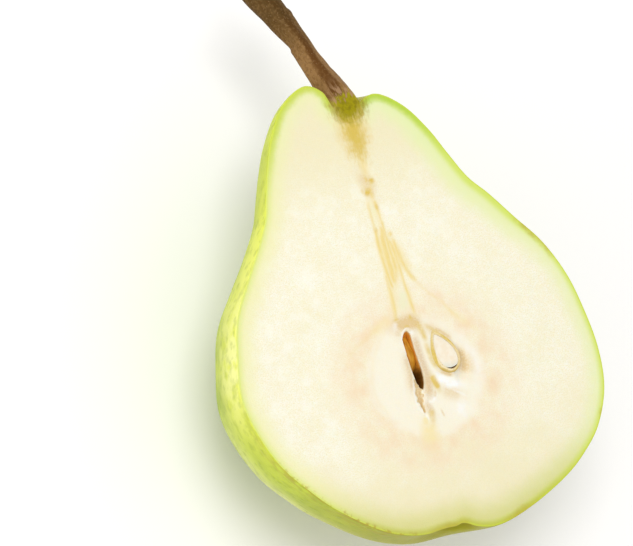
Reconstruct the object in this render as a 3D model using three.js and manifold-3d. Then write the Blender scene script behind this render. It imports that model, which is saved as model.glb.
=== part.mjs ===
// Half of a green pear, cut lengthwise and lying on its rounded back with the cut face up.
// Millimetres. X runs across the fruit, +Y from the blossom end to the stem, +Z up out of the cut face.
// The origin is on the flat spot that the half rests on, under the core axis.
//
// Every piece is shaped in the fruit frame: y is the height above the blossom end, and the knife's plane is
// z = 0. The group at the end lifts that frame so that the flat spot lies at the origin.

import * as THREE from "three";
import { mergeVertices } from "three/addons/utils/BufferGeometryUtils.js";
import Module from "manifold-3d";

const wasm = await Module();
wasm.setup();

const { degToRad, smoothstep } = THREE.MathUtils;

// ---------------------------------------------------------------- driving dimensions

const GAP = 0.3; // clearance between two pieces that touch
const KNIFE_TILT = degToRad(3.1); // the knife's plane against the core axis
const KNIFE_CROSSING = 72; // height at which the knife's plane crosses the core axis
const REST_STATION = 28.5; // height of the middle of the flat spot above the blossom end
const REST_FLAT = 1.7; // how far the back is flattened there, which keeps the cut face level

// The two cheeks as the knife shows them, from the middle of the calyx basin over the belly, waist, neck and
// shoulder to the floor of the stem cavity: [distance from the core axis, height above the blossom end].
const LEFT_CHEEK = [
  [0, 4.2],
  [2.5, 3.1],
  [3.8, -0.1],
  [5, -0.1],
  [8.8, -0.5],
  [14.9, 1.3],
  [23.75, 7.7],
  [27.75, 12],
  [31.15, 16.5],
  [33.95, 22.9],
  [35.25, 29.6],
  [34, 36.9],
  [31.9, 43.6],
  [27.7, 50],
  [24.2, 55],
  [21.05, 60.2],
  [19.9, 63.5],
  [18.15, 68.4],
  [15.8, 73.7],
  [11.9, 79.2],
  [6.3, 82.1],
  [3.1, 80.3],
  [2.1, 77.4],
  [0, 75.3],
];
const RIGHT_CHEEK = [
  [0, 4.2],
  [2.5, 2.9],
  [3.6, -0.6],
  [4.5, -1.85],
  [7.6, -2.35],
  [14.2, -0.75],
  [23.5, 3.25],
  [28.45, 6.65],
  [32.35, 10.4],
  [36, 17.1],
  [37.15, 24.6],
  [36.4, 32.4],
  [34.95, 39],
  [31.9, 45.7],
  [27.85, 51.1],
  [23.9, 56.4],
  [20.8, 60],
  [18.1, 65.1],
  [15.6, 70.2],
  [11.9, 75.3],
  [7.1, 78.35],
  [4, 77.6],
  [2.3, 76.1],
  [0, 75.3],
];
const STEPS_PER_POINT = 2; // rings between two points of a cheek
const BODY_SIDES = 80;
const RIBS = 5; // one faint swelling of the back for each seed chamber
const RIB_HEIGHT = 0.45;
const RIB_FADE = 30; // height over which the ribs fade from the blossom end
const LOBE_DROP = 0.7; // one lobe of the back stands this much lower round the calyx than the rest
const LOBE_AT = degToRad(215); // where that lobe is, round the core axis from the front
const LOBE_FADE = 6; // height over which it fades

// ---------------------------------------------------------------- helpers

/** A closed three.js geometry as a manifold-3d solid. */
function solid(geometry) {
  const bare = geometry.index ? geometry.toNonIndexed() : geometry.clone();
  bare.deleteAttribute("normal");
  bare.deleteAttribute("uv");
  const merged = mergeVertices(bare);
  return new wasm.Manifold(
    new wasm.Mesh({
      numProp: 3,
      vertProperties: merged.attributes.position.array,
      triVerts: new Uint32Array(merged.index.array),
    }),
  );
}

/** A manifold-3d solid as a three.js geometry. */
function geometryOf(made) {
  const { vertProperties, triVerts } = made.getMesh();
  const geometry = new THREE.BufferGeometry();
  geometry.setAttribute("position", new THREE.BufferAttribute(vertProperties, 3));
  geometry.setIndex(new THREE.BufferAttribute(triVerts, 1));
  geometry.computeVertexNormals();
  return geometry;
}

/** A named piece with the colour and gloss of its surface. */
function piece(name, made, color, roughness) {
  const material = new THREE.MeshStandardMaterial({ color, roughness, metalness: 0 });
  const mesh = new THREE.Mesh(geometryOf(made), material);
  mesh.name = name;
  return mesh;
}

/** A smooth curve through [x, y] points. */
const curveThrough = (points) =>
  new THREE.CatmullRomCurve3(
    points.map(([x, y]) => new THREE.Vector3(x, y, 0)),
    false,
    "centripetal",
  );

/** A seed-shaped solid: round at its lower end, pointed at its upper end, flat across its thickness. */
function seedShape({ length, width, thickness, at, turn = 0, onEdge = false, steps = 16, sides = 20 }) {
  const profile = [];
  for (let i = 0; i <= steps; i++) {
    const s = i / steps;
    const round = Math.sin(Math.PI * Math.pow(s, 0.72)); // fullest below the middle
    const radius = i === 0 || i === steps ? 0 : (width / 2) * Math.pow(round, 0.72);
    profile.push(new THREE.Vector2(radius, (s - 0.5) * length));
  }
  const flattened = thickness / width;
  const shape = new THREE.LatheGeometry(profile, sides);
  shape.scale(onEdge ? flattened : 1, 1, onEdge ? 1 : flattened);
  return solid(shape.rotateZ(turn).translate(...at));
}

/** A solid above or below a level, to cut with. */
function slabFrom(z, upwards) {
  const size = 240;
  return solid(new THREE.BoxGeometry(size, size, size).translate(0, 0, z + (upwards ? size : -size) / 2));
}

const knife = slabFrom(0, true);

// ---------------------------------------------------------------- flesh and skin

/** The whole fruit: a lathed mean profile, whose points then move out to the cheek that they lie towards. */
function wholeFruit() {
  const left = curveThrough(LEFT_CHEEK);
  const right = curveThrough(RIGHT_CHEEK);
  const rings = (LEFT_CHEEK.length - 1) * STEPS_PER_POINT;
  const profileAt = (t, towardsRight) => left.getPoint(t).lerp(right.getPoint(t), towardsRight);
  const mean = [];
  for (let j = 0; j <= rings; j++) {
    const { x, y } = profileAt(j / rings, 0.5);
    mean.push(new THREE.Vector2(x, y));
  }
  const fruit = new THREE.LatheGeometry(mean, BODY_SIDES);
  const position = fruit.attributes.position;
  for (let i = 0; i <= BODY_SIDES; i++) {
    const around = (i / BODY_SIDES) * 2 * Math.PI;
    const across = Math.sin(around);
    const depth = Math.cos(around);
    for (let j = 0; j <= rings; j++) {
      const { x: cheek, y: height } = profileAt(j / rings, (1 + across) / 2);
      const fade = Math.max(0, 1 - height / RIB_FADE) * Math.min(1, cheek / RIB_FADE);
      const radius = cheek + RIB_HEIGHT * fade * depth * depth * Math.cos(RIBS * around);
      const facing = Math.pow(Math.max(0, Math.cos(around - LOBE_AT)), 4);
      const lobe = LOBE_DROP * facing * smoothstep(cheek, 3, 7) * Math.max(0, 1 - height / LOBE_FADE);
      position.setXYZ(i * (rings + 1) + j, radius * across, height - lobe, radius * depth);
    }
  }
  return solid(fruit.translate(0, -KNIFE_CROSSING, 0).rotateX(KNIFE_TILT).translate(0, KNIFE_CROSSING, 0));
}

// ---------------------------------------------------------------- seed chambers, seeds

const CORE_TOP = 35.1; // height of the upper end of the seed chambers

// The left chamber is met by the knife along its edge, so it opens as a narrow slit. The seed inside it
// stands on edge below the slit.
const SLIT_DEPTH = 2.4;
const SLIT = [
  [-0.45, 0],
  [0.15, -0.45],
  [0.2, -2.6],
  [0.3, -5],
  [0.48, -7.8],
  [0.3, -9.4],
  [-0.28, -10.8],
  [-0.95, -9.75],
  [-1.4, -8.2],
  [-1.6, -3.2],
  [-1.5, -1.1],
];
// Below the slit the chamber's edge runs on as a shallow crease.
const CREASE_DEPTH = 0.7;
const CREASE = [
  [-0.2, -10],
  [-0.6, -11.8],
  [-0.85, -13.2],
  [-0.95, -15.1],
  [-1.6, -14.5],
  [-2.2, -11.9],
  [-1.9, -10],
  [-1.35, -8.4],
  [-0.8, -9.4],
];
const WHOLE_SEED = {
  length: 8.2,
  width: 4.4,
  thickness: 2.9,
  at: [-0.6, CORE_TOP - 3.7, -2.5],
  turn: degToRad(-6),
  onEdge: true,
};

// The right chamber is laid open by the knife, with its seed sliced along the broad side.
const OPEN_CHAMBER = {
  length: 14,
  width: 7.8,
  thickness: 2.8,
  at: [6.3, CORE_TOP - 6.7, 0],
  turn: degToRad(17),
  steps: 20,
  sides: 32,
};
const SLICED_SEED = {
  length: 8.6,
  width: 4.85,
  thickness: 3,
  at: [5.55, CORE_TOP - 5.15, -0.25],
  turn: degToRad(21),
};
const SEED_COAT = 0.6;

/** The same seed shape with its surface moved outwards. */
const grown = (seed, by) => ({
  ...seed,
  length: seed.length + 2 * by,
  width: seed.width + 2 * by,
  thickness: seed.thickness + 2 * by,
});

/** A straight-walled pit under the cut face. Its closed outline is measured from the top of the core. */
function pit(outline, depth) {
  const edge = new THREE.CatmullRomCurve3(
    outline.map(([x, y]) => new THREE.Vector3(x, CORE_TOP + y, 0)),
    true,
    "centripetal",
  );
  const corners = edge.getPoints(36).slice(0, -1);
  const shape = new THREE.Shape(corners.map(({ x, y }) => new THREE.Vector2(x, y)));
  const geometry = new THREE.ExtrudeGeometry(shape, { depth: depth + 1, bevelEnabled: false });
  return solid(geometry.translate(0, 0, -depth));
}

const wholeSeed = seedShape(WHOLE_SEED);
const slicedSeed = seedShape(SLICED_SEED);
const seedCoat = slicedSeed.subtract(seedShape(grown(SLICED_SEED, -SEED_COAT))).subtract(knife);
const seedKernel = seedShape(grown(SLICED_SEED, -SEED_COAT - GAP)).subtract(knife);

// ---------------------------------------------------------------- stem

// The stem's middle line, from its root in the flesh to its free end: [x, y, z, radius].
const STEM = [
  [0.9, 76.2, -1.3, 2.5],
  [0.8, 78.4, -2, 2.8],
  [-0.55, 83.8, -3.5, 2.4],
  [-1.35, 87.3, -4.5, 2.05],
  [-2.5, 92, -5.7, 2.05],
  [-4.6, 98.2, -7.2, 2.4],
  [-6.6, 103.1, -8.2, 2.75],
  [-7.5, 105.3, -8.7, 2.7],
];
const STEM_STEPS = 34;
const STEM_SIDES = 20;
const STEM_RIDGES = 4; // shallow ridges that run along the bark
const STEM_RIDGE_HEIGHT = 0.12;
const STEM_TWIST = 1.6; // radians that the ridges turn along the stem
const STEM_END_ROUNDING = 1.2; // length over which each end closes

/** A lathed rod, bent along the middle line, with its radius, bark ridges and rounded ends. */
function stemSolid(extra = 0) {
  const line = new THREE.CatmullRomCurve3(
    STEM.map(([x, y, z]) => new THREE.Vector3(x, y, z)),
    false,
    "centripetal",
  );
  const radii = curveThrough(STEM.map(([, , , radius], i) => [i, radius]));
  const length = line.getLength();
  const rod = [new THREE.Vector2(0, 0)];
  for (let j = 0; j <= STEM_STEPS; j++) rod.push(new THREE.Vector2(1, (j / STEM_STEPS) * length));
  rod.push(new THREE.Vector2(0, length));
  const bent = new THREE.LatheGeometry(rod, STEM_SIDES);
  const position = bent.attributes.position;
  const rows = rod.length;
  const { normals, binormals } = line.computeFrenetFrames(STEM_STEPS);
  for (let i = 0; i <= STEM_SIDES; i++) {
    const around = (i / STEM_SIDES) * 2 * Math.PI;
    for (let row = 0; row < rows; row++) {
      const j = Math.min(Math.max(row - 1, 0), STEM_STEPS);
      const along = j / STEM_STEPS;
      const toEnd = Math.min(along, 1 - along) * length;
      const closing = Math.sqrt(1 - Math.pow(1 - Math.min(1, (toEnd + 0.25) / STEM_END_ROUNDING), 2));
      const bark = STEM_RIDGE_HEIGHT * Math.cos(STEM_RIDGES * around + STEM_TWIST * along);
      const onAxis = row === 0 || row === rows - 1;
      const radius = onAxis ? 0 : (radii.getPoint(line.getUtoTmapping(along)).y + bark) * closing + extra;
      const point = line
        .getPointAt(along)
        .addScaledVector(normals[j], radius * Math.cos(around))
        .addScaledVector(binormals[j], radius * Math.sin(around));
      position.setXYZ(i * rows + row, point.x, point.y, point.z);
    }
  }
  return solid(bent);
}

// ---------------------------------------------------------------- calyx

// The dried calyx in the basin at the blossom end: five pointed sepals round a short tube.
const SEPALS = 5;
const SEPAL_LENGTH = 2.7;
const SEPAL_WIDTH = 2;
const SEPAL_THICKNESS = 0.7;
const SEPAL_LIFT = 1.8; // how far a sepal's tip stands out of the basin
const CALYX_RADIUS = 1.4;
const CALYX_TUBE = 2.4; // length of the tube, most of it sunk in the flesh
const CALYX_AT = new THREE.Vector3(0, 3.4, -KNIFE_CROSSING * Math.sin(KNIFE_TILT));

/** One sepal, which grows out along +X from the calyx and curls away from the fruit, towards -Y. */
function sepal() {
  const outline = new THREE.Shape();
  outline.moveTo(0, -SEPAL_WIDTH / 2);
  outline.quadraticCurveTo(SEPAL_LENGTH * 0.6, -SEPAL_WIDTH / 2, SEPAL_LENGTH, -0.15);
  outline.lineTo(SEPAL_LENGTH, 0.15);
  outline.quadraticCurveTo(SEPAL_LENGTH * 0.6, SEPAL_WIDTH / 2, 0, SEPAL_WIDTH / 2);
  const blade = new THREE.ExtrudeGeometry(outline, {
    depth: SEPAL_THICKNESS,
    bevelEnabled: false,
    curveSegments: 5,
  });
  blade.rotateX(Math.PI / 2); // flat in the plane across the core axis
  const position = blade.attributes.position;
  for (let i = 0; i < position.count; i++) {
    const out = position.getX(i) / SEPAL_LENGTH;
    position.setY(i, position.getY(i) - SEPAL_LIFT * Math.pow(out, 0.8));
  }
  return blade;
}

function calyxSolid() {
  const tube = new THREE.CylinderGeometry(CALYX_RADIUS, CALYX_RADIUS * 0.8, CALYX_TUBE, 20);
  let made = solid(tube.translate(0, 0.4, 0));
  for (let k = 0; k < SEPALS; k++) {
    // The first sepal points straight away from the knife, so that all five stay on this half.
    const turned = sepal().rotateY(Math.PI / 2 + (k * 2 * Math.PI) / SEPALS);
    made = made.add(solid(turned));
  }
  return made.translate(CALYX_AT.toArray());
}

/** The pit that the calyx's tube stands in. */
const calyxSocket = () =>
  solid(
    new THREE.CylinderGeometry(CALYX_RADIUS + GAP, CALYX_RADIUS + GAP, 2 * CALYX_TUBE, 20)
      .translate(0, 1.6 + GAP - CALYX_TUBE, 0)
      .translate(...CALYX_AT.toArray()),
  );

// ---------------------------------------------------------------- assembly

const fruit = wholeFruit();
const floor = fruit.boundingBox().min[2] + REST_FLAT;
const halfPear = [
  knife,
  slabFrom(floor, false),
  stemSolid(GAP),
  calyxSocket(),
  pit(SLIT, SLIT_DEPTH),
  pit(CREASE, CREASE_DEPTH),
  seedShape(grown(WHOLE_SEED, GAP)),
  seedShape(OPEN_CHAMBER),
  seedShape(grown(SLICED_SEED, GAP)),
].reduce((made, cutter) => made.subtract(cutter), fruit);

const pear = new THREE.Group();
pear.add(
  piece("half_pear", halfPear, 0xc9d84f, 0.4),
  piece("stem", stemSolid().subtract(knife), 0x6b4a2f, 0.8),
  piece("calyx", calyxSolid(), 0x4a3623, 0.9),
  piece("seed_whole", wholeSeed, 0x6e3f12, 0.35),
  piece("seed_coat", seedCoat, 0x8a5a22, 0.4),
  piece("seed_kernel", seedKernel, 0xf1e6d2, 0.5),
);
pear.position.set(0, -REST_STATION, -floor);

export default pear;
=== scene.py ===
"""Half of a green pear, cut lengthwise, lying on its rounded back with the cut face up and its stem on.

Metres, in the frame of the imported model: +Y runs from the blossom end to the stem, +Z up out of the cut face.
"""

from math import cos, hypot, pi, radians, sin, sqrt

import bmesh
import bpy
import numpy as np
from mathutils import Matrix, Vector, noise
from mathutils.geometry import interpolate_bezier


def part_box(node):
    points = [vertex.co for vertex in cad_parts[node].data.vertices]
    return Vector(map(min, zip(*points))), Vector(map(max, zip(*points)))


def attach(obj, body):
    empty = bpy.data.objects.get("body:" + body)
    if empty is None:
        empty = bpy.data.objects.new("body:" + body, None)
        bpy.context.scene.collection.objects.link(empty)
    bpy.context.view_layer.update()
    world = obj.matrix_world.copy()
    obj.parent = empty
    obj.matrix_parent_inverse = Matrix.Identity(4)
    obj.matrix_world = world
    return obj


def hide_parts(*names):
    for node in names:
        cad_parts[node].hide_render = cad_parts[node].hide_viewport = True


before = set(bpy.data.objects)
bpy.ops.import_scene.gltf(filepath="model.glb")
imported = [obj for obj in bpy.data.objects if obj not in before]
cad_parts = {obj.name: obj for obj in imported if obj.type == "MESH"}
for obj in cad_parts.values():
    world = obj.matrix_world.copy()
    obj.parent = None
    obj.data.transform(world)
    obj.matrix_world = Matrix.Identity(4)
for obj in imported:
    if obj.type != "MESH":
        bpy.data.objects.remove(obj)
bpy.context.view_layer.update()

# ---------------------------------------------------------------- camera
# The half is looked down on from its left, about 28 degrees off square to the cut face. The stem leans to the
# left of upright. The lens is long, so the fruit keeps its true proportions.

MM = 0.001
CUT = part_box("half_pear")[1].z  # height of the cut face
VIEW_OFF_SQUARE = radians(28)
VIEW_BEARING = radians(15.2)  # turn of the view's tilt from -X towards -Y
STEM_LEAN = radians(16)
VIEW_DISTANCE = 571 * MM
VIEW_TARGET = Vector((-14.4 * MM, 20.2 * MM, CUT))
LENS = 184.3

tilt = sin(VIEW_OFF_SQUARE)
towards = Vector((-tilt * cos(VIEW_BEARING), -tilt * sin(VIEW_BEARING), cos(VIEW_OFF_SQUARE)))
rightwards = Vector((0, 1, 0)).cross(towards).normalized()
upright = Matrix((rightwards, towards.cross(rightwards), towards)).transposed()
camera = bpy.data.objects.new("camera", bpy.data.cameras.new("camera"))
camera.data.lens = LENS
camera.matrix_world = (
    Matrix.Translation(VIEW_TARGET + VIEW_DISTANCE * towards)
    @ upright.to_4x4()
    @ Matrix.Rotation(-STEM_LEAN, 4, "Z")
)
scene = bpy.context.scene
scene.collection.objects.link(camera)
scene.camera = camera

# ---------------------------------------------------------------- floor and light
# A plain white table in a white tent. The main softbox hangs a little to the left, and a weaker one at the
# left lights the skin, so the shadows are soft and lie close round the fruit.

FLOOR_SIZE = 3.0
FLOOR_WHITES = ((0.965, 0.95, 0.955, 1), (0.97, 0.955, 0.96, 1))
TENT_STRENGTH = 0.72
SOFTBOXES = [  # name, place, size in metres and power in watts
    ("main_softbox", Vector((-0.2, 0.15, 0.75)), 0.32, 2.57),
    ("side_softbox", Vector((-0.7, 0, 0.2)), 0.4, 0.8),
]
LIGHT = 1.145  # how much brighter than white a white surface comes out, as the table does
CREASED = radians(42)  # an edge bent more than this stays sharp


def object_from(bm, name):
    """The finished bmesh as an object at the origin, shaded smooth except along its sharp edges."""
    bmesh.ops.recalc_face_normals(bm, faces=bm.faces)
    mesh = bpy.data.meshes.new(name)
    for face in bm.faces:
        face.smooth = True
    for edge in bm.edges:
        edge.smooth = edge.calc_face_angle(0) < CREASED
    bm.to_mesh(mesh)
    bm.free()
    made = bpy.data.objects.new(name, mesh)
    scene.collection.objects.link(made)
    return made


def math_node(operation, swapped=False):
    """A method that joins a socket and another socket or a number by a Math node."""

    def join(self, other):
        pair = (other, self) if swapped else (self, other)
        return self.node("Math", {"operation": operation}, *pair)

    return join


class Socket:
    """A node's output. Sums and products of sockets add Math nodes to their material."""

    __add__ = __radd__ = math_node("ADD")
    __sub__ = math_node("SUBTRACT")
    __rsub__ = math_node("SUBTRACT", swapped=True)
    __mul__ = __rmul__ = math_node("MULTIPLY")
    __truediv__ = math_node("DIVIDE")
    __pow__ = math_node("POWER")
    at_most = math_node("MINIMUM")

    def __init__(self, tree, output):
        self.tree = tree
        self.output = output

    def node(self, kind, settings, *values, out=0, **named):
        """Adds a node: first its settings, then its inputs by position or name, as values or links."""
        made = self.tree.nodes.new("ShaderNode" + kind)
        for key, setting in settings.items():
            setattr(made, key, setting)
        for key, value in [*enumerate(values), *named.items()]:
            if value is None:
                continue
            entry = made.inputs[key if isinstance(key, int) else key.replace("_", " ")]
            if isinstance(value, Socket):
                self.tree.links.new(value.output, entry)
            else:
                entry.default_value = value
        return Socket(self.tree, made.outputs[out])

    def axes(self):
        """The x, y and z of a vector."""
        split = self.node("SeparateXYZ", {}, self)
        return [Socket(self.tree, output) for output in split.output.node.outputs]

    def smooth(self, low, high):
        """0 below low, 1 above high and a smooth step between; high may be the smaller."""
        if high < low:
            return 1 - self.smooth(high, low)
        return self.node("MapRange", {"interpolation_type": "SMOOTHSTEP"}, self, low, high, 0.0, 1.0)

    def tint(self, base, other):
        """The base colour where this is 0, the other colour where it is 1."""
        skipped = [None] * 5  # the node's inputs for numbers and vectors
        return self.node("Mix", {"data_type": "RGBA"}, self, *skipped, base, other, out=2)

    def stretched(self, *times):
        """A vector scaled along each axis."""
        return self.node("VectorMath", {"operation": "MULTIPLY"}, self, times)

    def moved(self, by):
        """A vector in metres, counted from another place in millimetres."""
        return self.node("VectorMath", {"operation": "SUBTRACT"}, self, by).stretched(*[1 / MM] * 3)

    def attribute(self, name, out=2):
        """An attribute of the mesh, as a number, or as a vector where out is 1."""
        return self.node("Attribute", {"attribute_name": name}, out=out)

    def noise(self, scale, detail=2.0, roughness=0.5):
        """Cloudy noise from 0 to 1 over these coordinates."""
        return self.node("TexNoise", {}, self, Scale=scale, Detail=detail, Roughness=roughness)

    def into(self, shader, name):
        self.tree.links.new(self.output, shader.inputs[name])

    def bump(self, shader, distance):
        """This height, 0 to 1, as relief of that depth in metres."""
        self.node("Bump", {}, Height=self, Distance=distance, Strength=1.0).into(shader, "Normal")


def material(owner, name, **constants):
    """A new material on an object: its shader, with its constants set, and the socket of places on it."""
    made = bpy.data.materials.new(name)
    made.use_nodes = True
    owner.data.materials.append(made)
    shader = made.node_tree.nodes["Principled BSDF"]
    for key, value in constants.items():
        shader.inputs[key.replace("_", " ")].default_value = value
    place = made.node_tree.nodes.new("ShaderNodeTexCoord").outputs["Object"]
    return shader, Socket(made.node_tree, place)


def layered(base, *coats):
    """The base colour under coats, each a mask and the colour that shows where the mask is 1."""
    for mask, tone in coats:
        base = mask.tint(base, tone)
    return base


def color(red, green, blue):
    """A colour for the shader from the values, 0 to 255, that it has on the screen in this light."""
    return (*(((c / 255 + 0.055) / 1.055) ** 2.4 / LIGHT for c in (red, green, blue)), 1)


bm = bmesh.new()
bmesh.ops.create_grid(bm, x_segments=8, y_segments=8, size=FLOOR_SIZE / 2)
floor = object_from(bm, "floor")
shader, place = material(floor, "white_table", Roughness=0.6)
place.noise(3.0).tint(*FLOOR_WHITES).into(shader, "Base Color")

for name, at, size, watts in SOFTBOXES:
    softbox = bpy.data.objects.new(name, bpy.data.lights.new(name, "AREA"))
    softbox.data.energy = watts
    softbox.data.size = size
    softbox.location = at
    softbox.rotation_euler = at.to_track_quat("Z", "Y").to_euler()
    scene.collection.objects.link(softbox)

world = bpy.data.worlds.new("tent")
world.use_nodes = True
backdrop = world.node_tree.nodes["Background"].inputs
backdrop["Color"].default_value = (1, 1, 1, 1)
backdrop["Strength"].default_value = TENT_STRENGTH
scene.world = world
scene.view_settings.view_transform = "Standard"

# ---------------------------------------------------------------- flesh and skin
# The half grew as one piece: crisp cream flesh under a thin waxy skin that is one with it. It swelled round
# five seed chambers, in a core that leans a little back from the knife's plane. The knife left a flat face
# with a slightly rounded edge.

# Profiles in millimetres, [distance from the core axis, height above the blossom end], from the calyx basin
# over the belly, waist, neck and shoulder to the floor of the stem cavity.
LEFT_CHEEK = [
    (0, 4.2), (2.5, 3.1), (3.8, -0.1), (5, -0.1), (8.8, -0.5), (14.9, 1.3),
    (23.75, 7.7), (27.75, 12), (31.15, 16.5), (33.95, 22.9), (35.25, 29.6), (34, 36.9),
    (31.9, 43.6), (27.7, 50), (24.2, 55), (21.05, 60.2), (19.9, 63.5), (18.15, 68.4),
    (15.8, 73.7), (11.9, 79.2), (6.3, 82.1), (3.1, 80.3), (2.1, 77.4), (0, 75.3),
]
RIGHT_CHEEK = [
    (0, 4.2), (2.5, 2.9), (3.6, -0.6), (4.5, -1.85), (7.6, -2.35), (14.2, -0.75),
    (23.5, 3.25), (28.45, 6.65), (32.35, 10.4), (36, 17.1), (37.15, 24.6), (36.4, 32.4),
    (34.95, 39), (31.9, 45.7), (27.85, 51.1), (23.9, 56.4), (20.8, 60), (18.1, 65.1),
    (15.6, 70.2), (11.9, 75.3), (7.1, 78.35), (4, 77.6), (2.3, 76.1), (0, 75.3),
]
RINGS_PER_POINT = 7  # from one point of a cheek to the next
SKIN_SIDES = 220
RIBS = 5  # faint swellings of the back, one for each seed chamber
RIB_HEIGHT = 0.45
RIB_FADE = 30  # they fade out at this height, and towards the core axis
LOBE_DROP = 0.7  # one lobe of the back stands this much lower round the calyx than the rest
LOBE_AT = radians(215)
LOBE_REACH = (3, 7)  # it starts between these distances from the core axis
LOBE_FADE = 6  # and ends at this height
LUMPS = 0.14  # how far the skin's broad unevenness stands out, in millimetres
LUMP_LENGTH = 14
KNIFE_TILT = radians(3.1)
KNIFE_CROSSING = 72  # height at which the knife's plane crosses the core axis
REST_STATION = 28.5  # height of the middle of the rest spot
CORE_TOP = 35.1  # height of the upper end of the seed chambers
CORE_AT = Vector((0, CORE_TOP - REST_STATION, CUT / MM))  # that place in the model's frame, in millimetres
LIP = 0.2  # rounding of the cut edge


def curve_through(points, steps, closed=False):
    """A smooth curve through the points, with that many steps from each point to the next."""
    points = [Vector(p) for p in points]
    count = len(points)
    line = []
    for k in range(count if closed else count - 1):
        start, end = points[k], points[(k + 1) % count]
        before = points[k - 1] if k or closed else 2 * start - end
        after = points[(k + 2) % count] if k + 2 < count or closed else 2 * end - start
        spans = ((before, start), (start, end), (end, after))
        first, second, third = (sqrt((b - a).length) for a, b in spans)
        leave = (start - before) / first - (end - before) / (first + second) + (end - start) / second
        arrive = (end - start) / second - (after - start) / (second + third) + (after - end) / third
        hold = second / 3
        line += interpolate_bezier(start, start + leave * hold, end - arrive * hold, end, steps + 1)[:-1]
    return line if closed else [*line, points[-1]]


def step(value, low, high):
    """0 below low, 1 above high, smooth between."""
    t = np.clip((value - low) / (high - low), 0, 1)
    return t * t * (3 - 2 * t)


to_row = (
    Matrix.Scale(MM, 4)
    @ Matrix.Translation((0, KNIFE_CROSSING - REST_STATION, CUT / MM))
    @ Matrix.Rotation(KNIFE_TILT, 4, "X")
    @ Matrix.Translation((0, -KNIFE_CROSSING, 0))
)


def spin(bm, geometry, sides, angle=2 * pi):
    """Spins geometry round the long axis, and joins what meets there and at the end of a full turn."""
    around = {"cent": (0, 0, 0), "axis": (0, 1, 0), "angle": angle, "steps": sides}
    bmesh.ops.spin(bm, geom=geometry, use_merge=angle == 2 * pi, **around)
    bmesh.ops.remove_doubles(bm, verts=bm.verts, dist=1e-4)


def spun_fruit(bm):
    """The whole fruit: the mean of both cheeks spun round the core axis, then drawn out to each cheek."""
    left = curve_through(LEFT_CHEEK, RINGS_PER_POINT)
    right = curve_through(RIGHT_CHEEK, RINGS_PER_POINT)
    station = bm.verts.layers.int["station"]
    profile = []
    for k, (a, b) in enumerate(zip(left, right)):
        middle = (a + b) / 2
        profile.append(bm.verts.new((0, middle.y, middle.x)))
        profile[-1][station] = k
    for a, b in zip(profile, profile[1:]):
        bm.edges.new((a, b))
    spin(bm, [*bm.verts, *bm.edges], SKIN_SIDES)
    for v in bm.verts:
        spun = hypot(v.co.x, v.co.z)
        across, deep = (v.co.x / spun, v.co.z / spun) if spun > 1e-3 else (0, 0)
        cheek = left[v[station]].lerp(right[v[station]], (1 + across) / 2)
        fade = max(0, 1 - cheek.y / RIB_FADE) * min(1, cheek.x / RIB_FADE)
        angle = np.arctan2(across, deep)
        five = cos(RIBS * angle)
        lump = noise.noise(Vector((cheek.x * across, cheek.y, cheek.x * deep)) / LUMP_LENGTH)
        swell = RIB_HEIGHT * fade * deep * deep * five + LUMPS * lump * min(1, cheek.x / LUMP_LENGTH)
        lobe = LOBE_DROP * max(0, cos(angle - LOBE_AT)) ** 4 * step(cheek.x, *LOBE_REACH)
        lobe *= max(0, 1 - cheek.y / LOBE_FADE)
        v.co = ((cheek.x + swell) * across, cheek.y - lobe, (cheek.x + swell) * deep)
    bmesh.ops.transform(bm, matrix=to_row, verts=bm.verts)


# The cut face is a web of rings from the rim to a spine along the core, closest at the rim and the core.
SPINE = (15.5, 64.5)  # heights of the spine's ends
HALF_RAYS = 300  # rays on each side of the core
RING_SHARES = [  # each ring's share of the way from the rim to the spine
    *np.geomspace(0.0016, 0.055, 9),
    *np.linspace(0.055, 0.64, 27)[1:],
    *np.linspace(0.64, 0.93, 40)[1:],
    *np.linspace(0.93, 1, 20)[1:],
]


def loop_in_order(edges):
    """The points of one closed loop of edges, from the blossom end up the left side and down the right."""
    first = min((v for e in edges for v in e.verts), key=lambda v: (v.co.y > 0, abs(v.co.x)))
    loop = [first]
    turn = min((e for e in first.link_edges if e in edges), key=lambda e: e.other_vert(first).co.x)
    while True:
        following = turn.other_vert(loop[-1])
        if following is first:
            break
        loop.append(following)
        turn = next(e for e in following.link_edges if e in edges and e is not turn)
    return np.array([v.co.xy for v in loop] + [first.co.xy]) / MM


def spread_evenly(line, count):
    """Points spaced evenly along a line, both ends included."""
    along = np.concatenate([[0], np.cumsum(np.linalg.norm(np.diff(line, axis=0), axis=1))])
    at = np.linspace(0, along[-1], count)
    return np.column_stack([np.interp(at, along, line[:, 0]), np.interp(at, along, line[:, 1])])


def nearest_on(points, outline):
    """For each point the nearest place on a closed outline, and how far inside it the point lies."""
    nearest = np.zeros_like(points)
    best = np.full(len(points), np.inf)
    inside = np.zeros(len(points), bool)
    for start, end in zip(outline, np.roll(outline, -1, axis=0)):
        along = end - start
        share = np.clip((points - start) @ along / max(along @ along, 1e-12), 0, 1)
        foot = start + share[:, None] * along
        apart = np.linalg.norm(points - foot, axis=1)
        closer = apart < best
        best[closer] = apart[closer]
        nearest[closer] = foot[closer]
        if start[1] != end[1]:
            spans = (start[1] > points[:, 1]) != (end[1] > points[:, 1])
            crossing = start[0] + (points[:, 1] - start[1]) / along[1] * along[0]
            inside ^= spans & (points[:, 0] < crossing)
    return nearest, np.where(inside, best, -best)


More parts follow.
